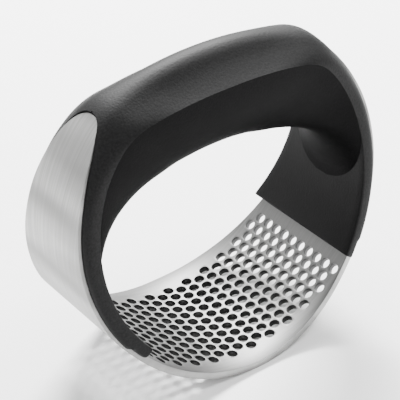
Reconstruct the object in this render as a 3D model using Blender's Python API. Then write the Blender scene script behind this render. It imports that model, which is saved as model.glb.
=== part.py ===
"""Garlic rocker: a perforated steel band bent into an open ring, with a moulded hand grip across it.

Units are metres. +X runs along the ring from leg to leg, +Y from front to back and +Z up. Angles are
measured round the rocker's own axis, from straight down (0) up either leg to the top of the grip (180).
The part stands on its rocker, centred on the origin.
"""
import math

import bmesh
import bpy
from mathutils import Vector

MM = 0.001

# Steel band: the perforated rocker and the two tongues that run up outside the legs.
ROCKER_RADIUS = 45.2 * MM        # inner face of the rocker
STEEL = 2.0 * MM                 # sheet thickness
TONGUE_END = 134.6               # angle of each tongue's rounded end, degrees
TONGUE_ROUND_FROM = 100.0        # angle where a tongue starts to round off
TONGUE_ROUND_POWER = 2.3
BAND_LEAVES_CIRCLE = 38.0        # angle where the band starts to leave the rocker's circle
# How far each tongue stands proud of the handle's outline: (angle, distance).
TONGUE_PROUD = [(52, 0.0), (66, 0.4), (85, 0.4), (104, 0.0), (116, -0.35), (135, -0.8)]

# Press holes: staggered rows across the rocker.
HOLE_DIAMETER = 3.0 * MM
HOLE_PITCH = 3.6 * MM            # along a row
ROW_STEP = 3.28 * MM             # from row to row, along the inner face
HOLES_PER_ROW = 10
ROWS = 22
HOLE_SIDES = 8

# Handle: an arched shell over the top and down both legs, and a grip insert that fills the arch.
HALF_WIDTH = 25.8 * MM           # edge line at the bottom of the rocker
RAIL = 1.8 * MM                  # plastic beside each edge of a tongue
LINING = 1.8 * MM                # leg's inner face, inside the rocker's inner face
LEG_FROM = 50.3                  # angle of a leg's lower end
LEG_BEVEL_TO = 53.0              # angle where the leg reaches its full thickness
RAIL_STEP_AT = 56.6              # the rails drop a little below this angle
RAIL_DROP = 0.6 * MM
LEG_ARC = ROCKER_RADIUS + 3.6 * MM      # outline down each leg
LEG_ARC_RISE = 1.3 * MM          # its centre, above the rocker's axis
SHOULDER = 18.0 * MM             # outline's round from a leg to the top
TOP_ARC = ROCKER_RADIUS + 54.8 * MM     # outline over the top
TOP_HEIGHT = ROCKER_RADIUS - 3.9 * MM   # top of the handle, above the rocker's axis
GRIP_DEPTH = 28.1 * MM           # from the top of the handle to its underside
WALL = 2.4 * MM                  # moulded wall
# Upper half of the hand opening, a superellipse about a point below the rocker's axis.
OPENING_HALF = ROCKER_RADIUS - 3.0 * MM
OPENING_MIDDLE = -10.0 * MM
UNDERSIDE_HEIGHT = TOP_HEIGHT - GRIP_DEPTH
OPENING_POWER = 2.8
ROOT_FROM = 73.0                 # angle where the insert's root starts on a leg
ROOT_FULL = 104.0                # angle where it reaches the full width
ROOT_THICKNESS = 0.5 * MM
CLEARANCE = 0.3 * MM             # between pieces that touch
# Narrowing of the edge line from the rocker's middle to the grip: (angle, distance).
NARROWING = [(0, 0.0), (15, 0.8), (30, 2.4), (45, 4.5), (60, 6.7), (75, 8.9), (90, 11.0), (105, 12.9),
             (120, 14.2), (135, 14.6), (180, 14.6)]
# Depth of the shell from its crown to the seam with the insert: (angle, distance).
SHELL_DEPTH = [(46, 4.5), (90, 5.1), (120, 5.7), (140, 6.5), (180, 7.2)]
# Squareness of the handle's section, as the power of a superellipse: (angle, power).
SQUARENESS = [(46, 8.0), (75, 7.0), (90, 6.0), (105, 4.5), (120, 3.0), (135, 2.4), (180, 2.4)]
# Section over the fingers: (distance from the middle, height), both as parts of the whole.
GRIP_CROWN = [(0, 1.0), (0.1, 0.985), (0.2, 0.935), (0.3, 0.845), (0.4, 0.7), (0.5, 0.55),
              (0.6, 0.42), (0.8, 0.195), (1, 0.0), (1.2, -0.18)]
GRIP_DOME = 0.45                 # half width of the round dome, as a part of the grip's
CROWN_FROM = 116.0               # the section starts changing to the grip's
CROWN_FULL = 160.0
# How fast the insert's section falls away from its middle to its sides.
INSERT_FALL = [(73, 1.5), (95, 1.6), (110, 1.6), (130, 1.25), (155, 0.9), (180, 0.85)]
# Extra depth of the insert's middle where it meets the legs: (angle, distance).
BELLY = [(73, 0.0), (85, 1.6), (95, 3.0), (108, 3.7), (122, 3.0), (140, 1.2), (160, 0.2), (180, 0.0)]

FACET = 4.0                      # degrees between sections
HALVINGS = 24                    # steps of a search for a radius
HOLLOWS = [(100, 124), (126, 150), (152, 178)]

AXIS_HEIGHT = (ROCKER_RADIUS + STEEL) * math.cos(math.radians(FACET / 2))


def smooth(table, angle):
    """Value of an (angle, value) table at an angle, by a cubic through its points."""
    if angle <= table[0][0]:
        return table[0][1]
    if angle >= table[-1][0]:
        return table[-1][1]
    i = max(k for k in range(len(table) - 1) if table[k][0] <= angle)

    def slope(k):
        if k == 0 or k == len(table) - 1:
            return 0.0
        before = (table[k][1] - table[k - 1][1]) / (table[k][0] - table[k - 1][0])
        after = (table[k + 1][1] - table[k][1]) / (table[k + 1][0] - table[k][0])
        return 0.0 if before * after <= 0 else 2 * before * after / (before + after)

    (a0, v0), (a1, v1) = table[i], table[i + 1]
    span = a1 - a0
    t = (angle - a0) / span
    return (v0 * (1 + 2 * t) * (1 - t) ** 2 + v1 * t * t * (3 - 2 * t)
            + span * t * (1 - t) * (slope(i) * (1 - t) - slope(i + 1) * t))


def fold(angle):
    """Angle up from straight down, the same on both legs."""
    return abs((angle + 180) % 360 - 180)


def place(radius, y, angle):
    """Point at a radius and angle round the rocker's axis."""
    a = math.radians(angle)
    return Vector((radius * math.sin(a), y, AXIS_HEIGHT - radius * math.cos(a)))


def edge_half_width(angle):
    """Half the width of the handle, or of the rocker with its rails, at an angle."""
    return HALF_WIDTH - smooth(NARROWING, fold(angle)) * MM


def band_half_width(angle):
    """Half the width of the steel, rounded off at the tongues' ends."""
    a = fold(angle)
    half = edge_half_width(a) - RAIL
    if a > TONGUE_ROUND_FROM:
        u = min(1.0, (a - TONGUE_ROUND_FROM) / (TONGUE_END - TONGUE_ROUND_FROM))
        half *= max(0.0, 1 - u ** TONGUE_ROUND_POWER) ** (1 / TONGUE_ROUND_POWER)
    return half


def far_hit(angle, x, z, radius):
    """Distance from the rocker's axis, at an angle, to the far side of a circle centred at x, z."""
    along = x * math.sin(math.radians(angle)) - z * math.cos(math.radians(angle))
    return along + math.sqrt(along * along - x * x - z * z + radius * radius)


def outline(angle):
    """Handle's outline: an arc down the leg, a round shoulder and a flatter arc over the top."""
    a = fold(angle)
    leg_reach = LEG_ARC - SHOULDER
    top_reach = TOP_ARC - SHOULDER
    top_centre = TOP_HEIGHT - TOP_ARC
    between = LEG_ARC_RISE - top_centre
    rise = (top_reach ** 2 - leg_reach ** 2 - between ** 2) / (2 * between)
    x, z = math.sqrt(leg_reach ** 2 - rise ** 2), LEG_ARC_RISE + rise
    leg_end = LEG_ARC / leg_reach
    top_end = TOP_ARC / top_reach
    leg_ends_at = math.degrees(math.atan2(x * leg_end, -LEG_ARC_RISE - rise * leg_end))
    top_starts_at = math.degrees(math.atan2(x * top_end, -top_centre - (z - top_centre) * top_end))
    if a < leg_ends_at:
        return far_hit(a, 0.0, LEG_ARC_RISE, LEG_ARC)
    if a < top_starts_at:
        return far_hit(a, x, z, SHOULDER)
    return far_hit(a, 0.0, top_centre, TOP_ARC)


def band_outer(angle):
    """Outer face of the steel: the rocker's own circle, then a tongue along the outline."""
    a = fold(angle)
    t = min(1.0, max(0.0, (a - BAND_LEAVES_CIRCLE) / (LEG_FROM - BAND_LEAVES_CIRCLE)))
    blend = t * t * (3 - 2 * t)
    circle = ROCKER_RADIUS + STEEL
    return circle + blend * (outline(a) + smooth(TONGUE_PROUD, a) * MM - circle)


def crown(angle):
    """Radius of the handle's outer crown."""
    drop = RAIL_DROP if fold(angle) < RAIL_STEP_AT else 0.0
    return outline(angle) - drop


def seam(angle):
    """Radius of the shell's lower edge: a leg's inner face, then the seam with the insert."""
    a = fold(angle)
    leg = ROCKER_RADIUS - LINING
    if a < LEG_BEVEL_TO:
        t = (LEG_BEVEL_TO - a) / (LEG_BEVEL_TO - LEG_FROM)
        return leg + (LINING - CLEARANCE) * t * t
    return min(leg, outline(a) - smooth(SHELL_DEPTH, a) * MM)


def underside(angle):
    """Radius of the grip's underside: the hand opening's outline, by halving."""
    direction = math.radians(fold(angle))
    sin, up = math.sin(direction), -math.cos(direction)
    near, far = 0.0, ROCKER_RADIUS - LINING
    for _ in range(HALVINGS):
        radius = (near + far) / 2
        across = radius * sin / OPENING_HALF
        rise = max(0.0, radius * up - OPENING_MIDDLE) / (UNDERSIDE_HEIGHT - OPENING_MIDDLE)
        if across ** OPENING_POWER + rise ** OPENING_POWER < 1:
            near = radius
        else:
            far = radius
    return near


def insert_points(angle, half_width, base, height, count):
    """Insert section from +Y to -Y over a base radius, falling away to its sides."""
    points = []
    for k in range(count):
        u = math.pi * k / (count - 1)
        rise = abs(math.sin(u)) ** smooth(INSERT_FALL, fold(angle))
        points.append((base + height * rise, half_width * math.cos(u)))
    return points


def handle_points(angle, base, height, count):
    """Handle section from +Y to -Y: square over a leg, a dome with slanting flanks over the grip."""
    a = fold(angle)
    half = edge_half_width(a)
    power = smooth(SQUARENESS, a)
    t = min(1.0, max(0.0, (a - CROWN_FROM) / (CROWN_FULL - CROWN_FROM)))
    grip = t * t * (3 - 2 * t)
    points = []
    for k in range(count):
        t = 1 - abs(2 * k / (count - 1) - 1)
        side = 1 if 2 * k < count - 1 else -1
        leg_rise = math.sin(math.pi / 2 * t) ** (2 / power)
        leg_out = abs(math.cos(math.pi / 2 * t)) ** (2 / power)
        grip_out = 1 - (1 - GRIP_DOME) * 2 * t if t < 0.5 else GRIP_DOME * 2 * (1 - t)
        rise = leg_rise + grip * (smooth(GRIP_CROWN, grip_out) - leg_rise)
        out = leg_out + grip * (grip_out - leg_out)
        points.append((base + height * rise, side * half * out))
    return points


def angles(start, stop, step):
    """Evenly spaced angles, near a step apart, from start to stop."""
    count = max(1, round((stop - start) / step))
    return [start + (stop - start) * k / count for k in range(count + 1)]


def loft(name, sections):
    """Closed mesh through a list of sections with equal point counts."""
    mesh = bpy.data.meshes.new(name)
    bm = bmesh.new()
    rings = [[bm.verts.new(p) for p in section] for section in sections]
    for ring, following in zip(rings, rings[1:]):
        for k in range(len(ring)):
            n = (k + 1) % len(ring)
            bm.faces.new((ring[k], ring[n], following[n], following[k]))
    bm.faces.new(rings[0])
    bm.faces.new(rings[-1])
    bmesh.ops.recalc_face_normals(bm, faces=bm.faces)
    bmesh.ops.triangulate(bm, faces=bm.faces)
    bm.to_mesh(mesh)
    bm.free()
    return mesh


def add(name, mesh, group):
    thing = bpy.data.objects.new(name, mesh)
    group.objects.link(thing)
    return thing


def cut(target, cutter):
    """Boolean difference, left live on the target."""
    cutter.hide_render = True
    cutter.display_type = "WIRE"
    difference = target.modifiers.new("cut_" + cutter.name, "BOOLEAN")
    difference.operation = "DIFFERENCE"
    difference.solver = "EXACT"
    difference.object = cutter


def finish(name, colour, roughness, metallic):
    material = bpy.data.materials.new(name)
    material.use_nodes = True
    shader = material.node_tree.nodes["Principled BSDF"]
    shader.inputs["Base Color"].default_value = (*colour, 1.0)
    shader.inputs["Roughness"].default_value = roughness
    shader.inputs["Metallic"].default_value = metallic
    return material


def band_mesh(name, grow, outward):
    """Band solid, grown by a clearance at its edges and inner face, and by more outwards."""
    sections = []
    half_facet = FACET / 2
    last = TONGUE_END - half_facet / 4
    stops = angles(-last, -half_facet, FACET) + angles(half_facet, last, FACET)
    ends = [last - FACET / 2, last - FACET]
    stops = sorted(set(stops + ends + [-a for a in ends]))
    for angle in stops:
        half = band_half_width(angle) + grow
        outer = band_outer(angle)
        inner = outer - STEEL - grow
        outer += outward
        sections.append([place(inner, -half, angle), place(inner, half, angle),
                         place(outer, half, angle), place(outer, -half, angle)])
    return loft(name, sections)


def hole_cutters():
    """One prism for each press hole, square to the rocker."""
    bm = bmesh.new()
    row_angle = math.degrees(ROW_STEP / ROCKER_RADIUS)
    length = STEEL * 3
    for row in range(ROWS):
        angle = (row - (ROWS - 1) / 2) * row_angle
        shift = HOLE_PITCH / 4 * (-1) ** row
        for k in range(HOLES_PER_ROW):
            y = (k - (HOLES_PER_ROW - 1) / 2) * HOLE_PITCH + shift
            made = bmesh.ops.create_cone(bm, cap_ends=True, segments=HOLE_SIDES,
                                         radius1=HOLE_DIAMETER / 2, radius2=HOLE_DIAMETER / 2,
                                         depth=length)
            middle = place(ROCKER_RADIUS + STEEL / 2, y, angle)
            turn = Vector((0, 0, 1)).rotation_difference(place(1, 0, angle) - place(0, 0, angle))
            for vert in made["verts"]:
                vert.co = turn @ vert.co + middle
    mesh = bpy.data.meshes.new("press_holes")
    bm.to_mesh(mesh)
    bm.free()
    return mesh


def shell_mesh():
    """Handle shell without its hollows and tongue pockets."""
    sections = []
    stops = [LEG_FROM, RAIL_STEP_AT - 0.2, RAIL_STEP_AT + 0.2]
    stops += angles(RAIL_STEP_AT + FACET, 180, FACET)
    stops += [360 - a for a in reversed(stops[:-1])]
    for angle in stops:
        base = seam(angle)
        points = handle_points(angle, base, crown(angle) - base, 17)
        sections.append([place(r, y, angle) for r, y in points])
    return loft("handle_shell", sections)


def hollow_mesh(name, start, stop, base, height):
    """Hollow with a moulded wall left all round, between two angles."""
    sections = []
    for angle in angles(start, stop, FACET):
        half = edge_half_width(angle) - 1.3 * WALL
        points = insert_points(angle, half, base(angle), height(angle), 11)
        sections.append([place(r, y, angle) for r, y in points])
    return loft(name, sections)


def insert_top(angle):
    return seam(angle) - CLEARANCE


def insert_depth(angle):
    return max(ROOT_THICKNESS, insert_top(angle) - underside(angle) + smooth(BELLY, fold(angle)) * MM)


def insert_half_width(angle):
    a = fold(angle)
    half = edge_half_width(a)
    if a < ROOT_FULL:
        u = min(1.0, (ROOT_FULL - a) / (ROOT_FULL - ROOT_FROM + 1))
        half *= math.sqrt(1 - u ** 2.2)
    return half


def insert_mesh():
    """Grip insert without its hollows."""
    sections = []
    for angle in angles(ROOT_FROM, 360 - ROOT_FROM, FACET):
        points = insert_points(angle, insert_half_width(angle), insert_top(angle), -insert_depth(angle), 17)
        sections.append([place(r, y, angle) for r, y in points])
    return loft("grip_insert", sections)


def build():
    for thing in list(bpy.data.objects):
        bpy.data.objects.remove(thing, do_unlink=True)
    parts = bpy.data.collections.new("garlic_rocker")
    cutters = bpy.data.collections.new("cutters")
    for group in (parts, cutters):
        bpy.context.scene.collection.children.link(group)
    steel = finish("satin_steel", (0.62, 0.62, 0.61), 0.34, 1.0)
    shell_black = finish("black_moulding", (0.028, 0.028, 0.029), 0.55, 0.0)
    insert_black = finish("black_grip", (0.022, 0.022, 0.023), 0.6, 0.0)

    band = add("rocker_band", band_mesh("rocker_band", 0.0, 0.0), parts)
    band.data.materials.append(steel)
    cut(band, add("press_holes", hole_cutters(), cutters))

    shell = add("handle_shell", shell_mesh(), parts)
    shell.data.materials.append(shell_black)
    cut(shell, add("tongue_pockets", band_mesh("tongue_pockets", CLEARANCE, 4 * STEEL), cutters))

    insert = add("grip_insert", insert_mesh(), parts)
    insert.data.materials.append(insert_black)

    both_sides = HOLLOWS + [(360 - stop, 360 - start) for start, stop in HOLLOWS]
    for number, (start, stop) in enumerate(both_sides):
        name = "insert_hollow_%d" % number
        mesh = hollow_mesh(name, start, stop, lambda a: insert_top(a) + CLEARANCE / 2,
                           lambda a: WALL - insert_depth(a))
        cut(insert, add(name, mesh, cutters))
    for thing in parts.objects:
        thing.data.shade_smooth()
        thing.data.set_sharp_from_angle(angle=math.radians(35))


build()
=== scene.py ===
"""Garlic rocker: brushed steel band, perforated where it presses, in a moulded black arch handle.

Lengths are in metres and angles in degrees, measured round the rocker's axis from straight down (0)
up either leg to the top of the grip (180). +X runs from leg to leg and +Y from front to back.
"""
import math

import bmesh
import bpy
from mathutils import Euler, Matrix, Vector


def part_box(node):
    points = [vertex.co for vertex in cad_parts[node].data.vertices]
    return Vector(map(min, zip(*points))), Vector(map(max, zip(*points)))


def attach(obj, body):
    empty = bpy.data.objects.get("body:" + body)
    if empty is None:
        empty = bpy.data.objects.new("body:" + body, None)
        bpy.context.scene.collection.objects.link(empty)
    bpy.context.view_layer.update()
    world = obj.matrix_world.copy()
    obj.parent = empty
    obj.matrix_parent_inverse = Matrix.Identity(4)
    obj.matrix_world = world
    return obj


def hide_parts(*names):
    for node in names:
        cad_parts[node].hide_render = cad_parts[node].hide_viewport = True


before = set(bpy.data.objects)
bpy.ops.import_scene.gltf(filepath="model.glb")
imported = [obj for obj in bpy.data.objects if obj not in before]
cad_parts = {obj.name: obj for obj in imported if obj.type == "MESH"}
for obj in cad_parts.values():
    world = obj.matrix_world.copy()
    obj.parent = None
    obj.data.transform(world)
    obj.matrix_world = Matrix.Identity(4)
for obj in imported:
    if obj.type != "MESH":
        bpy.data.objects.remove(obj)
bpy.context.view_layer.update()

MM = 0.001
BAND_LOW, BAND_HIGH = (Vector(corner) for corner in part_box("rocker_band"))
SHELL_LOW, SHELL_HIGH = (Vector(corner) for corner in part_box("handle_shell"))

# Steel band.
STEEL = 2.0 * MM                        # sheet thickness
ROCKER_RADIUS = 45.2 * MM               # inner face of the rocker
AXIS_HEIGHT = BAND_LOW.z + ROCKER_RADIUS + STEEL
TONGUE_END = 134.6
TIP_FROM = 134.2                        # the blunt middle of a tongue's end starts here
TONGUE_ROUND_FROM = 100.0
TONGUE_ROUND_POWER = 2.3
BAND_LEAVES_CIRCLE = 38.0
TONGUE_PROUD = [(52, 0.0), (66, 0.4), (85, 0.4), (104, 0.0), (116, -0.35), (135, -0.8)]
TONGUE_LENGTHS = 90                     # faces along a tongue
SHEET_EDGE = 0.3 * MM                   # width of the broken edge round the sheet
SHEET_EDGE_TO = 132.0                   # the broken edge stops short of the tips
BAND_CREASE = 40.0

# Press holes.
HOLE_DIAMETER = 3.0 * MM
HOLE_PITCH = 3.6 * MM
ROW_STEP = 3.28 * MM
HOLES_PER_ROW = 10
ROWS = 22
CELL_CUTS = 4                           # edges along each side of the cell round a hole
FIELD_END = ROWS / 2 * ROW_STEP         # from the middle of the field to its last row's edge
STAGGER = HOLE_PITCH / 4                # each row is this far off the middle, to either side
WALL_LEAN = 0.3                         # faces that lean less than this to the axis are hole walls
INNER_LEAN = 0.8                        # and faces that lean more are the inner face, painted darker as shade

# Handle.
HALF_WIDTH = 25.8 * MM
RAIL = 1.8 * MM
LINING = 1.8 * MM
LEG_FROM = 50.3
RAIL_STEP_AT = 56.6
RAIL_STEP_OVER = 0.7
RAIL_DROP = 0.8 * MM
LEG_ARC = (SHELL_HIGH.x - SHELL_LOW.x) / 2
LEG_ARC_RISE = 1.3 * MM
SHOULDER = 18.0 * MM
TOP_ARC = 100.0 * MM
TOP_HEIGHT = SHELL_HIGH.z - AXIS_HEIGHT
OPENING_HALF = 42.2 * MM
OPENING_MIDDLE = -10.0 * MM
UNDERSIDE_HEIGHT = 13.2 * MM
OPENING_POWER = 2.8
GAP = 0.25 * MM                         # joint line round a tongue
POCKET_PAST_TIP = 0.4
POCKET_CUT = 4 * STEEL
POCKET_LENGTHS = 240                    # faces along both pockets' cutter
POCKET_ACROSS = 24
LEG_ROUNDING = 0.6 * MM
ROUNDING_FADES_FROM = 80.0
ROUNDING_FADES_OVER = 25.0
MOULDING_CREASE = 35.0
SHADED_FACES = 0.85                       # faces that lean more than this to the axis get painted shade
NARROWING = [(0, 0.0), (15, 0.8), (30, 2.4), (45, 4.5), (60, 6.7), (75, 8.9), (90, 11.0),
             (105, 12.9), (120, 14.2), (135, 14.6), (180, 14.6)]
SHELL_DEPTH = [(46, 4.5), (90, 5.1), (120, 5.7), (140, 6.5), (180, 7.2)]
SQUARENESS = [(46, 8.0), (75, 7.0), (90, 6.0), (105, 4.5), (120, 3.0), (135, 2.4), (180, 2.4)]
# Section of the grip: (distance from its middle, height), both as parts of the whole.
GRIP_CROWN = [(0, 1.0), (0.1, 0.985), (0.2, 0.935), (0.3, 0.845), (0.4, 0.7), (0.5, 0.55),
              (0.6, 0.42), (0.8, 0.195), (1, 0.0), (1.2, -0.18)]
GRIP_DOME = 0.45
CROWN_FROM = 116.0
CROWN_FULL = 160.0
ROOT_FROM = 73.0
ROOT_FULL = 104.0
ROOT_SWELL = 0.5 * MM
ROOT_BLUNT = 0.3                        # degrees that a root's rounding runs past its end
ROOT_ROUND_POWER = 2.2
INSERT_FALL = [(73, 1.5), (82, 1.5), (95, 1.6), (110, 1.6), (130, 1.25), (155, 0.9), (180, 0.85)]
BELLY = [(73, 0.0), (85, 1.6), (95, 3.0), (108, 3.7), (122, 3.0), (140, 1.2), (160, 0.2), (180, 0.0)]

LENGTHWISE = 1.5                        # degrees between sections of the handle
AROUND = 56                             # edges over a section's crown
ACROSS = 14                             # edges over a section's flat face
HALVINGS = 24                           # steps that find the underside
SQUARE_EDGE = 50.0                      # an edge that turns more than this is broken or rounded
TOUCHING = 1e-6                         # corners closer than this are one corner
SEAM_REACH = 2e-5                       # and so are a tongue's and the field's, where they join
ROW_REACH = 1e-5                        # how close a corner of the last row lies to FIELD_END

# Finishes, as linear colours.
SHEET = (0.62, 0.62, 0.61)
BRUSHED_DARK, BRUSHED_LIGHT = (0.16, 0.16, 0.158), (0.5, 0.5, 0.49)
# painted shade: darker steel colours for the band's inner face
INNER_SHADE_DARK, INNER_SHADE_LIGHT = (0.08, 0.08, 0.079), (0.16, 0.16, 0.158)
# faint darker slanted streaks across the steel
STREAK_DARK = (0.13, 0.13, 0.128)
# hole walls: torn finish and painted shade inside the holes
TORN_WALL_SHADE = (0.06, 0.06, 0.06)
BRUSH_STRETCH = (30.0, 1800.0, 30.0)    # brush lines run round the band
STREAK_STRETCH = (20.0, 18.0, 95.0)
STREAK_SLANT = 35.0
MOULDED_BLACK, GRAIN_GREY = (0.0005, 0.0005, 0.0005), (0.014, 0.014, 0.0143)
# painted shade: darker black for faces under the arch and towards the hand opening
SHADE_BLACK = (0.0012, 0.0012, 0.0013)
GRAIN_SCALE = 1800.0
CLOUD_SCALE = 90.0
ROUGHNESS_DRIFT = 0.04

# Studio. Lamps are placed round the object by the side and the height they shine from, in degrees:
# (name, side, height, distance, width, length, power).
PAPER = (0.95, 0.95, 0.95)
PAPER_SIZE = 6
DAYLIGHT = 0.9
LAMPS = [("back_softbox", 172, 56, 0.9, 0.8, 0.5, 9.0),
         ("back_strip", 146, 42, 0.9, 0.4, 0.14, 36.0),
         ("front_top_softbox", 62, 58, 0.9, 0.3, 0.3, 6.0),
         ("left_back_softbox", -132, 22, 0.9, 0.5, 0.5, 2.5)]
LAMPS_FACE = (0, 0, 0.05)

# Camera.
LENS = 136.85
SENSOR_WIDTH = 36.0
HEADING, DOWN, ROLL = 36.4, 33.56, 1.385
TARGET = (-0.00166, 0.00056, 0.0422)
DISTANCE = 0.40754


# ---------------------------------------------------------------- the form

def smooth(table, angle):
    """Value of an (angle, value) table at an angle, by a cubic through its points."""
    if angle <= table[0][0]:
        return table[0][1]
    if angle >= table[-1][0]:
        return table[-1][1]
    i = max(k for k in range(len(table) - 1) if table[k][0] <= angle)

    def slope(k):
        if k == 0 or k == len(table) - 1:
            return 0.0
        before = (table[k][1] - table[k - 1][1]) / (table[k][0] - table[k - 1][0])
        after = (table[k + 1][1] - table[k][1]) / (table[k + 1][0] - table[k][0])
        return 0.0 if before * after <= 0 else 2 * before * after / (before + after)

    (a0, v0), (a1, v1) = table[i], table[i + 1]
    span = a1 - a0
    t = (angle - a0) / span
    return (v0 * (1 + 2 * t) * (1 - t) ** 2 + v1 * t * t * (3 - 2 * t)
            + span * t * (1 - t) * (slope(i) * (1 - t) - slope(i + 1) * t))


def ease(t):
    """Soft step from 0 to 1."""
    t = min(1.0, max(0.0, t))
    return t * t * (3 - 2 * t)


def fold(angle):
    """The same angle up the nearer leg, 0 to 180."""
    return abs((angle + 180) % 360 - 180)


def place(radius, y, angle):
    """Point at a distance from the rocker's axis, at a place across and an angle round it."""
    a = math.radians(angle)
    return Vector((radius * math.sin(a), y, AXIS_HEIGHT - radius * math.cos(a)))


def edge_half_width(angle):
    return HALF_WIDTH - smooth(NARROWING, fold(angle)) * MM


def band_straight_half(angle):
    return edge_half_width(angle) - RAIL


def band_half_width(angle):
    """Half width of the steel, straight up to where a tongue starts to round off."""
    a = fold(angle)
    half = band_straight_half(a)
    if a > TONGUE_ROUND_FROM:
        u = min(1.0, (a - TONGUE_ROUND_FROM) / (TONGUE_END - TONGUE_ROUND_FROM))
        half *= max(0.0, 1 - u ** TONGUE_ROUND_POWER) ** (1 / TONGUE_ROUND_POWER)
    return half


def far_hit(angle, x, z, radius):
    """Where a line from the axis leaves a circle about (x, z)."""
    along = x * math.sin(math.radians(angle)) - z * math.cos(math.radians(angle))
    return along + math.sqrt(along * along - x * x - z * z + radius * radius)


def outline(angle):
    """Handle's outline: an arc down the leg, a round shoulder and a flatter arc over the top."""
    a = fold(angle)
    leg_reach = LEG_ARC - SHOULDER
    top_reach = TOP_ARC - SHOULDER
    top_centre = TOP_HEIGHT - TOP_ARC
    between = LEG_ARC_RISE - top_centre
    rise = (top_reach ** 2 - leg_reach ** 2 - between ** 2) / (2 * between)
    x, z = math.sqrt(leg_reach ** 2 - rise ** 2), LEG_ARC_RISE + rise
    leg_end = LEG_ARC / leg_reach
    top_end = TOP_ARC / top_reach
    leg_ends_at = math.degrees(math.atan2(x * leg_end, -LEG_ARC_RISE - rise * leg_end))
    top_starts_at = math.degrees(math.atan2(x * top_end, -top_centre - (z - top_centre) * top_end))
    if a < leg_ends_at:
        return far_hit(a, 0.0, LEG_ARC_RISE, LEG_ARC)
    if a < top_starts_at:
        return far_hit(a, x, z, SHOULDER)
    return far_hit(a, 0.0, top_centre, TOP_ARC)


def band_outer(angle):
    """Radius of the steel's outer face, a circle below the legs and the handle's outline on them."""
    a = fold(angle)
    blend = ease((a - BAND_LEAVES_CIRCLE) / (LEG_FROM - BAND_LEAVES_CIRCLE))
    circle = ROCKER_RADIUS + STEEL
    return circle + blend * (outline(a) + smooth(TONGUE_PROUD, a) * MM - circle)


def crown(angle):
    """Radius of the shell's outside, a step lower at the ends of the rails."""
    step = ease((fold(angle) - RAIL_STEP_AT) / RAIL_STEP_OVER + 0.5)
    return outline(angle) - RAIL_DROP * (1 - step)


def seam(angle):
    """Radius of a leg's inner face, then of the line where shell and insert meet."""
    a = fold(angle)
    return min(ROCKER_RADIUS - LINING, outline(a) - smooth(SHELL_DEPTH, a) * MM)


def underside(angle):
    """Radius of the hand opening's rounded outline."""
    direction = math.radians(fold(angle))
    sin, up = math.sin(direction), -math.cos(direction)
    near, far = 0.0, ROCKER_RADIUS
    for _ in range(HALVINGS):
        radius = (near + far) / 2
        across = radius * sin / OPENING_HALF
        rise = max(0.0, radius * up - OPENING_MIDDLE) / (UNDERSIDE_HEIGHT - OPENING_MIDDLE)
        if across ** OPENING_POWER + rise ** OPENING_POWER < 1:
            near = radius
        else:
            far = radius
    return near


# ---------------------------------------------------------------- bench tools

def only(thing):
    """Selects one object and makes it active."""
    bpy.ops.object.select_all(action="DESELECT")
    thing.select_set(True)
    bpy.context.view_layer.objects.active = thing


def settle(thing):
    """Turns the object's placing into its mesh."""
    only(thing)
    bpy.ops.object.transform_apply(location=True, rotation=True, scale=True)


def modify(thing, kind, **settings):
    """Adds a modifier and applies it."""
    only(thing)
    modifier = thing.modifiers.new(kind.lower(), kind)
    for name, value in settings.items():
        setattr(modifier, name, value)
    bpy.ops.object.modifier_apply(modifier=modifier.name)


def blank(name, columns, rows):
    """Flat sheet of columns by rows faces, one unit each way from the middle."""
    bpy.ops.object.select_all(action="DESELECT")
    bpy.ops.mesh.primitive_grid_add(x_subdivisions=columns, y_subdivisions=rows, size=2)
    sheet = bpy.context.active_object
    sheet.name = sheet.data.name = name
    return sheet


def form(sheet, shape):
    """Forms a blank: each corner goes from (u, v), both 0 to 1, to its place on the shape."""
    for vert in sheet.data.vertices:
        vert.co = shape((vert.co.x + 1) / 2, (vert.co.y + 1) / 2)


def weld(thing, distance=TOUCHING):
    only(thing)
    bpy.ops.object.mode_set(mode="EDIT")
    bpy.ops.mesh.select_all(action="SELECT")
    bpy.ops.mesh.remove_doubles(threshold=distance)
    bpy.ops.object.mode_set(mode="OBJECT")


def close_ends(thing):
    """Caps each open end and points every face outwards."""
    only(thing)
    bpy.ops.object.mode_set(mode="EDIT")
    bpy.ops.mesh.select_mode(type="EDGE")
    bpy.ops.mesh.select_all(action="DESELECT")
    bpy.ops.mesh.select_non_manifold()
    bpy.ops.mesh.fill_holes(sides=0)
    bpy.ops.mesh.select_all(action="SELECT")
    bpy.ops.mesh.normals_make_consistent(inside=False)
    bpy.ops.object.mode_set(mode="OBJECT")


def polish(thing, angle):
    """Smooth shading, kept crisp at edges sharper than the angle."""
    only(thing)
    bpy.ops.object.shade_smooth_by_angle(angle=math.radians(angle))


def dress(thing, material, node):
    """Gives a piece its material and its place in the frame."""
    thing.data.materials.clear()
    thing.data.materials.append(material)
    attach(thing, "root")
    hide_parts(node)


# ---------------------------------------------------------------- the steel band

def hole_cell():
    """One punched hole in its own flat rectangle, along X by ROW_STEP and along Y by HOLE_PITCH."""
    cell = blank("press_cell", CELL_CUTS, CELL_CUTS)
    cell.scale = (ROW_STEP / 2, HOLE_PITCH / 2, 1)
    settle(cell)
    bpy.ops.object.mode_set(mode="EDIT")
    bpy.ops.mesh.select_all(action="SELECT")
    bpy.ops.mesh.delete(type="ONLY_FACE")
    mesh = bmesh.from_edit_mesh(cell.data)
    inner = [v for v in mesh.verts
             if abs(v.co.x) < ROW_STEP / 2 - TOUCHING and abs(v.co.y) < HOLE_PITCH / 2 - TOUCHING]
    bmesh.ops.delete(mesh, geom=inner, context="VERTS")
    bmesh.update_edit_mesh(cell.data)
    bpy.ops.mesh.primitive_circle_add(vertices=4 * CELL_CUTS, radius=HOLE_DIAMETER / 2,
                                      fill_type="NOTHING", rotation=(0, 0, 0))
    bpy.ops.mesh.select_all(action="SELECT")
    bpy.ops.mesh.bridge_edge_loops()
    bpy.ops.object.mode_set(mode="OBJECT")
    return cell


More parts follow.
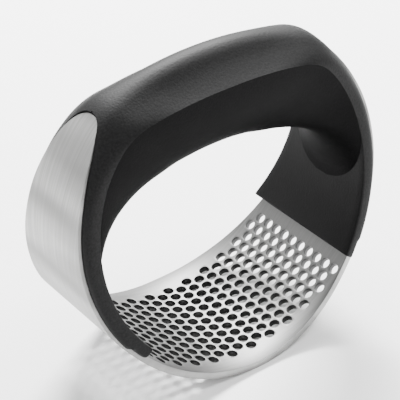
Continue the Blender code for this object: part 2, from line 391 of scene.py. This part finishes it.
def press_field():
    """All the punched rows, flat, every other row shifted by half a pitch."""
    field = hole_cell()
    field.location = (-(ROWS - 1) / 2 * ROW_STEP, -(HOLES_PER_ROW - 1) / 2 * HOLE_PITCH + STAGGER, 0)
    settle(field)
    modify(field, "ARRAY", count=HOLES_PER_ROW, use_relative_offset=False, use_constant_offset=True,
           constant_offset_displace=(0, HOLE_PITCH, 0), use_merge_vertices=True,
           merge_threshold=TOUCHING)
    only(field)
    bpy.ops.object.mode_set(mode="EDIT")
    bpy.ops.mesh.select_all(action="SELECT")
    bpy.ops.mesh.duplicate_move(TRANSFORM_OT_translate={"value": (ROW_STEP, -HOLE_PITCH / 2, 0)})
    bpy.ops.object.mode_set(mode="OBJECT")
    modify(field, "ARRAY", count=ROWS // 2, use_relative_offset=False, use_constant_offset=True,
           constant_offset_displace=(2 * ROW_STEP, 0, 0))
    weld(field)
    return field


def extrude_where(test, step):
    """Extrudes the border edges whose middle passes a test, in the mesh being edited."""
    mesh = bmesh.from_edit_mesh(bpy.context.edit_object.data)
    bpy.ops.mesh.select_all(action="DESELECT")
    for edge in mesh.edges:
        edge.select = edge.is_boundary and test((edge.verts[0].co + edge.verts[1].co) / 2,
                                                edge.verts[0].co - edge.verts[1].co)
    bmesh.update_edit_mesh(bpy.context.edit_object.data)
    bpy.ops.mesh.extrude_edges_move(TRANSFORM_OT_translate={"value": step})


def band_blank():
    """The whole band laid out flat: X is distance along the inner face of the rocker, Y across."""
    band = press_field()
    step = HOLE_PITCH / CELL_CUTS
    end = HOLES_PER_ROW / 2 * HOLE_PITCH - STAGGER
    fills = round(2 * STAGGER / step)       # steps that bring the short rows level with the long ones
    only(band)
    bpy.ops.object.mode_set(mode="EDIT")
    for side in (-1, 1):
        for k in range(fills + 1):
            border = side * (end + k * step)
            extrude_where(
                lambda middle, run: abs(middle.y - border) < step / 4 and abs(run.y) < step / 4,
                (0, side * step, 0))
            bpy.ops.mesh.select_all(action="SELECT")
            bpy.ops.mesh.remove_doubles(threshold=TOUCHING)
    bpy.ops.object.mode_set(mode="OBJECT")
    edge = end + (fills + 1) * step
    for vert in band.data.vertices:
        if abs(vert.co.y) > edge - step / 4:
            vert.co.y = math.copysign(band_half_width(sheet_angle(vert.co.x)), vert.co.y)
    return band


def sheet_angle(distance):
    """Angle round the axis of a place on the flat blank."""
    return math.degrees(distance / ROCKER_RADIUS)


def tongue_blank(side, rows):
    """One tongue, laid on from the last press row to the rounded tip."""
    start = sheet_angle(FIELD_END)
    columns = len(rows) - 1
    tongue = blank("tongue_%s" % ("left" if side < 0 else "right"), TONGUE_LENGTHS, columns)
    full = band_half_width(start)

    def shape(u, v):
        part = rows[round(v * columns)] / full
        if u < 1 - TOUCHING:
            along = math.sin(math.pi / 2 * u * TONGUE_LENGTHS / (TONGUE_LENGTHS - 1))
            angle = start + (TIP_FROM - start) * along
            y = part * band_half_width(angle)
        else:
            y = part * band_half_width(TIP_FROM)
            flat = max(0.0, 1 - (abs(y) / band_straight_half(TONGUE_END)) ** TONGUE_ROUND_POWER)
            along = flat ** (1 / TONGUE_ROUND_POWER)
            angle = TONGUE_ROUND_FROM + (TONGUE_END - TONGUE_ROUND_FROM) * along
        return Vector((side * math.radians(angle) * ROCKER_RADIUS, y, 0))

    form(tongue, shape)
    return tongue


def mark_edges(thing, share):
    """Gives every square edge its share of the bevel, by its angle round the axis."""
    only(thing)
    bpy.ops.object.mode_set(mode="EDIT")
    mesh = bmesh.from_edit_mesh(thing.data)
    weight = mesh.edges.layers.float.new("bevel_weight_edge")
    for edge in mesh.edges:
        x, y, z = (edge.verts[0].co + edge.verts[1].co) / 2
        if edge.is_manifold and edge.calc_face_angle() > math.radians(SQUARE_EDGE):
            edge[weight] = share(math.degrees(math.atan2(abs(x), AXIS_HEIGHT - z)))
    bmesh.update_edit_mesh(thing.data)
    bpy.ops.object.mode_set(mode="OBJECT")


def mark_punched(band):
    """Marks the walls of the press holes, near black for their torn finish and as painted shade
    inside the holes, and the band's inner face, painted darker as shade.
    """
    for name in ("punched", "inner_face_shade"):
        band.data.attributes.new(name, "FLOAT", "FACE")
    walls, inner = band.data.attributes["punched"], band.data.attributes["inner_face_shade"]
    for face in band.data.polygons:
        x, y, z = face.center
        outward = Vector((x, 0, z - AXIS_HEIGHT))
        angle = math.degrees(outward.angle(Vector((0, 0, -1))))
        inside = angle < sheet_angle(FIELD_END) and abs(y) < HOLES_PER_ROW / 2 * HOLE_PITCH + STAGGER
        facing = face.normal.dot(outward.normalized())
        walls.data[face.index].value = float(inside and abs(facing) < WALL_LEAN)
        inner.data[face.index].value = float(facing < -INNER_LEAN)


def steel_band(material):
    """The band: cut flat with its holes and tongues, bent round to its form, then given its
    thickness.
    """
    band = band_blank()
    rows = sorted(v.co.y for v in band.data.vertices if abs(v.co.x - FIELD_END) < ROW_REACH)
    tongues = [tongue_blank(side, rows) for side in (-1, 1)]
    only(band)
    for tongue in tongues:
        tongue.select_set(True)
    bpy.ops.object.join()
    weld(band, SEAM_REACH)
    only(band)
    bpy.ops.object.mode_set(mode="EDIT")
    bpy.ops.mesh.select_all(action="SELECT")
    bpy.ops.mesh.normals_make_consistent(inside=False)
    bpy.ops.object.mode_set(mode="OBJECT")
    for vert in band.data.vertices:
        angle = sheet_angle(vert.co.x)
        vert.co = place(band_outer(angle) - STEEL / 2, vert.co.y, angle)
    modify(band, "SOLIDIFY", thickness=STEEL, offset=0)
    mark_edges(band, lambda a: float(a < SHEET_EDGE_TO))
    modify(band, "BEVEL", width=SHEET_EDGE, segments=2, limit_method="WEIGHT")
    band.name = band.data.name = "press_band"
    mark_punched(band)
    polish(band, BAND_CREASE)
    dress(band, material, "rocker_band")


# ---------------------------------------------------------------- the mouldings

def handle_section(v, angle):
    """Point of the shell's crown at v, 0 to 1, from -Y over to +Y.

    Gives (part of the height, part of the half width).
    """
    a = fold(angle)
    side = -1 if v < 0.5 else 1
    t = 1 - abs(2 * v - 1)
    power = smooth(SQUARENESS, a)
    leg_rise = math.sin(math.pi / 2 * t) ** (2 / power)
    leg_out = max(0.0, math.cos(math.pi / 2 * t)) ** (2 / power)
    grip_out = 1 - (1 - GRIP_DOME) * 2 * t if t < 0.5 else GRIP_DOME * 2 * (1 - t)
    grip = ease((a - CROWN_FROM) / (CROWN_FULL - CROWN_FROM))
    rise = leg_rise + grip * (smooth(GRIP_CROWN, grip_out) - leg_rise)
    return rise, side * (leg_out + grip * (grip_out - leg_out))


def insert_section(v, angle):
    """The same for the insert, which hangs below the seam."""
    return math.sin(math.pi * v) ** smooth(INSERT_FALL, fold(angle)), -math.cos(math.pi * v)


def tube(name, start, section, height, half, base):
    """Closed moulding between two matching angles, a crown over a flat face at each section."""
    around = AROUND + ACROSS
    count = round((360 - 2 * start) / LENGTHWISE)
    piece = blank(name, count, around)

    def shape(u, v):
        angle = start + (360 - 2 * start) * u
        k = round(v * around)
        if k <= AROUND:
            rise, out = section(k / AROUND, angle)
            return place(base(angle) + height(angle) * rise, half(angle) * out, angle)
        return place(base(angle), half(angle) * (1 - 2 * (k - AROUND) / ACROSS), angle)

    form(piece, shape)
    weld(piece)
    close_ends(piece)
    return piece


def mark_shade(thing, shade_of):
    """Stores how much painted shade each face of the plastic takes."""
    painted = thing.data.attributes.new("painted_shade", "FLOAT", "FACE")
    for face in thing.data.polygons:
        painted.data[face.index].value = shade_of(face)


def faces_in(face):
    """1 for a face turned towards the hand opening; those faces get painted shade."""
    x, y, z = face.center
    inward = Vector((-x, 0, AXIS_HEIGHT - z)).normalized()
    return float(face.normal.dot(inward) > SHADED_FACES)


def handle_shell(material):
    """The arch and its legs, with a pocket cut for the tongues."""
    shell = tube("handle_moulding", LEG_FROM, handle_section, lambda a: crown(a) - seam(a),
                 edge_half_width, seam)
    mark_edges(shell, lambda a: 1 - ease((a - ROUNDING_FADES_FROM) / ROUNDING_FADES_OVER))
    modify(shell, "BEVEL", width=LEG_ROUNDING, segments=3, limit_method="WEIGHT")
    pocket = blank("tongue_pockets", POCKET_LENGTHS, POCKET_ACROSS)

    def shape(u, v):
        angle = (TONGUE_END + POCKET_PAST_TIP) * math.sin(math.pi / 2 * (2 * u - 1))
        return place(band_outer(angle) - STEEL - GAP,
                     (band_half_width(angle) + GAP) * (2 * v - 1), angle)

    form(pocket, shape)
    modify(pocket, "SOLIDIFY", thickness=POCKET_CUT, offset=-1)
    close_ends(pocket)
    modify(shell, "BOOLEAN", operation="DIFFERENCE", solver="EXACT", object=pocket)
    bpy.data.objects.remove(pocket)
    # painted shade on the faces turned towards the hand opening
    mark_shade(shell, faces_in)
    polish(shell, MOULDING_CREASE)
    dress(shell, material, "handle_shell")


def insert_half_width(angle):
    """Half width of the insert, rounded off at its roots."""
    a = fold(angle)
    half = edge_half_width(a)
    if a < ROOT_FULL:
        u = min(1.0, (ROOT_FULL - a) / (ROOT_FULL - ROOT_FROM + ROOT_BLUNT))
        half *= math.sqrt(1 - u ** ROOT_ROUND_POWER)
    return half


def insert_depth(angle):
    """Depth of the insert below the seam, swelling softly out of a leg's face."""
    below = seam(angle) - underside(angle) + smooth(BELLY, fold(angle)) * MM
    return (below + math.sqrt(below * below + ROOT_SWELL * ROOT_SWELL)) / 2


def grip_insert(material):
    """The filling under the fingers, from root to root, painted darker as shade all over."""
    insert = tube("grip_underside", ROOT_FROM, insert_section, lambda a: -insert_depth(a),
                  insert_half_width, seam)
    # painted shade on the whole insert
    mark_shade(insert, lambda face: 1.0)
    polish(insert, MOULDING_CREASE)
    dress(insert, material, "grip_insert")


# ---------------------------------------------------------------- finishes

def nodes_of(name, colour, roughness, metallic):
    """New material: itself, its node tree, its shader and the object's own coordinates."""
    material = bpy.data.materials.new(name)
    material.use_nodes = True
    tree = material.node_tree
    shader = tree.nodes["Principled BSDF"]
    shader.inputs["Base Color"].default_value = (*colour, 1)
    shader.inputs["Roughness"].default_value = roughness
    shader.inputs["Metallic"].default_value = metallic
    where = tree.nodes.new("ShaderNodeTexCoord")
    return material, tree, shader, where.outputs["Object"]


def noise(tree, where, scale, detail=2.0):
    texture = tree.nodes.new("ShaderNodeTexNoise")
    texture.inputs["Scale"].default_value = scale
    texture.inputs["Detail"].default_value = detail
    tree.links.new(where, texture.inputs["Vector"])
    return texture.outputs["Fac"]


def ranged(tree, value, low, high):
    """Spreads a value from 0 and 1 to low and high."""
    node = tree.nodes.new("ShaderNodeMapRange")
    node.inputs["To Min"].default_value = low
    node.inputs["To Max"].default_value = high
    tree.links.new(value, node.inputs["Value"])
    return node.outputs["Result"]


def bump(tree, shader, height, distance, strength):
    node = tree.nodes.new("ShaderNodeBump")
    node.inputs["Distance"].default_value = distance
    node.inputs["Strength"].default_value = strength
    tree.links.new(height, node.inputs["Height"])
    tree.links.new(node.outputs["Normal"], shader.inputs["Normal"])


def blend_colours(tree, factor, first, second):
    node = tree.nodes.new("ShaderNodeMix")
    node.data_type = "RGBA"
    tree.links.new(factor, node.inputs["Factor"])
    for socket, colour in (("A", first), ("B", second)):
        if isinstance(colour, tuple):
            node.inputs[socket].default_value = (*colour, 1)
        else:
            tree.links.new(colour, node.inputs[socket])
    return node.outputs["Result"]


def mark(tree, name):
    """Reads a piece's own mark."""
    node = tree.nodes.new("ShaderNodeAttribute")
    node.attribute_name = name
    return node.outputs["Fac"]


def spark_plastic(name, colour, lighter, roughness, specular):
    """Matte plastic with the fine grain of a spark-eroded mould, with painted shade on the faces
    marked for it.
    """
    material, tree, shader, where = nodes_of(name, colour, roughness, 0.0)
    shader.inputs["Specular IOR Level"].default_value = specular
    grain = noise(tree, where, GRAIN_SCALE)
    cloud = noise(tree, where, CLOUD_SCALE, 3.0)
    grained = blend_colours(tree, grain, colour, lighter)
    # painted shade: marked faces take the darker black
    grained = blend_colours(tree, mark(tree, "painted_shade"), grained, SHADE_BLACK)
    tree.links.new(grained, shader.inputs["Base Color"])
    tree.links.new(ranged(tree, cloud, roughness - ROUGHNESS_DRIFT, roughness + ROUGHNESS_DRIFT),
                   shader.inputs["Roughness"])
    bump(tree, shader, grain, 0.00007, 1.0)
    return material


def brushed_steel():
    """Satin steel: brush lines along the band, faint darker slanted streaks across it, the inner face
    darker as painted shade, hole walls near black for their torn finish and as painted shade.
    """
    material, tree, shader, where = nodes_of("satin_steel_sheet", SHEET, 0.3, 1.0)
    stretch = tree.nodes.new("ShaderNodeMapping")
    stretch.inputs["Scale"].default_value = BRUSH_STRETCH
    tree.links.new(where, stretch.inputs["Vector"])
    lines = noise(tree, stretch.outputs["Vector"], 1.0, 6.0)
    slant = tree.nodes.new("ShaderNodeMapping")
    slant.inputs["Rotation"].default_value = (math.radians(STREAK_SLANT), 0.0, 0.0)
    slant.inputs["Scale"].default_value = STREAK_STRETCH
    tree.links.new(where, slant.inputs["Vector"])
    bands = noise(tree, slant.outputs["Vector"], 1.0, 1.0)
    brushed = blend_colours(tree, lines, BRUSHED_DARK, BRUSHED_LIGHT)
    # blends the faint darker slanted streaks into the brushed colour
    streaked = blend_colours(tree, ranged(tree, bands, -0.5, 1.7), STREAK_DARK, brushed)
    # painted shade on the band's inner face
    shaded_inner = blend_colours(tree, lines, INNER_SHADE_DARK, INNER_SHADE_LIGHT)
    faced = blend_colours(tree, mark(tree, "inner_face_shade"), streaked, shaded_inner)
    # hole walls near black: torn finish and painted shade inside the holes
    tree.links.new(blend_colours(tree, mark(tree, "punched"), faced, TORN_WALL_SHADE),
                   shader.inputs["Base Color"])
    tree.links.new(ranged(tree, lines, 0.36, 0.56), shader.inputs["Roughness"])
    bump(tree, shader, lines, 0.00002, 0.3)
    return material


# ---------------------------------------------------------------- studio

def lamp(name, side, height, distance, width, length, power):
    """Flat lamp that faces the object."""
    light = bpy.data.lights.new(name, "AREA")
    light.shape = "RECTANGLE"
    light.size, light.size_y = width, length
    light.energy = power
    lamp_object = bpy.data.objects.new(name, light)
    bpy.context.scene.collection.objects.link(lamp_object)
    a, e = math.radians(side), math.radians(height)
    toward = Vector((math.sin(a) * math.cos(e), -math.cos(a) * math.cos(e), math.sin(e)))
    lamp_object.location = Vector(LAMPS_FACE) + toward * distance
    lamp_object.rotation_euler = toward.to_track_quat("Z", "Y").to_euler()


def studio():
    """Pale paper floor, even daylight and the lamps."""
    bpy.ops.object.select_all(action="DESELECT")
    bpy.ops.mesh.primitive_plane_add(size=PAPER_SIZE)
    floor = bpy.context.active_object
    floor.name = "floor"
    floor.location.z = BAND_LOW.z
    settle(floor)
    paper, *_ = nodes_of("studio_paper", PAPER, 0.9, 0.0)
    floor.data.materials.append(paper)

    world = bpy.data.worlds.new("studio")
    world.use_nodes = True
    world.node_tree.nodes["Background"].inputs["Color"].default_value = (1, 1, 1, 1)
    world.node_tree.nodes["Background"].inputs["Strength"].default_value = DAYLIGHT
    bpy.context.scene.world = world
    for settings in LAMPS:
        lamp(*settings)


def camera():
    """Camera by the way it faces, how far it looks down and how far it is tilted, in degrees."""
    lens = bpy.data.cameras.new("camera")
    lens.lens = LENS
    lens.sensor_width = SENSOR_WIDTH
    lens.clip_start = 0.01
    view = bpy.data.objects.new("camera", lens)
    bpy.context.scene.collection.objects.link(view)
    heading, down, roll = math.radians(HEADING), math.radians(DOWN), math.radians(ROLL)
    forward = Vector((math.sin(heading) * math.cos(down), math.cos(heading) * math.cos(down),
                      -math.sin(down)))
    view.location = Vector(TARGET) - forward * DISTANCE
    turn = Euler((math.pi / 2 - down, 0, -heading)).to_matrix()
    turn = turn @ Euler((0, 0, -roll)).to_matrix()
    view.rotation_euler = turn.to_euler()
    bpy.context.scene.camera = view


steel = brushed_steel()
moulding = spark_plastic("matte_black_moulding", MOULDED_BLACK, GRAIN_GREY, 0.58, 0.13)
grip = spark_plastic("matte_black_grip", MOULDED_BLACK, GRAIN_GREY, 0.6, 0.05)
steel_band(steel)
handle_shell(moulding)
grip_insert(grip)
studio()
camera()
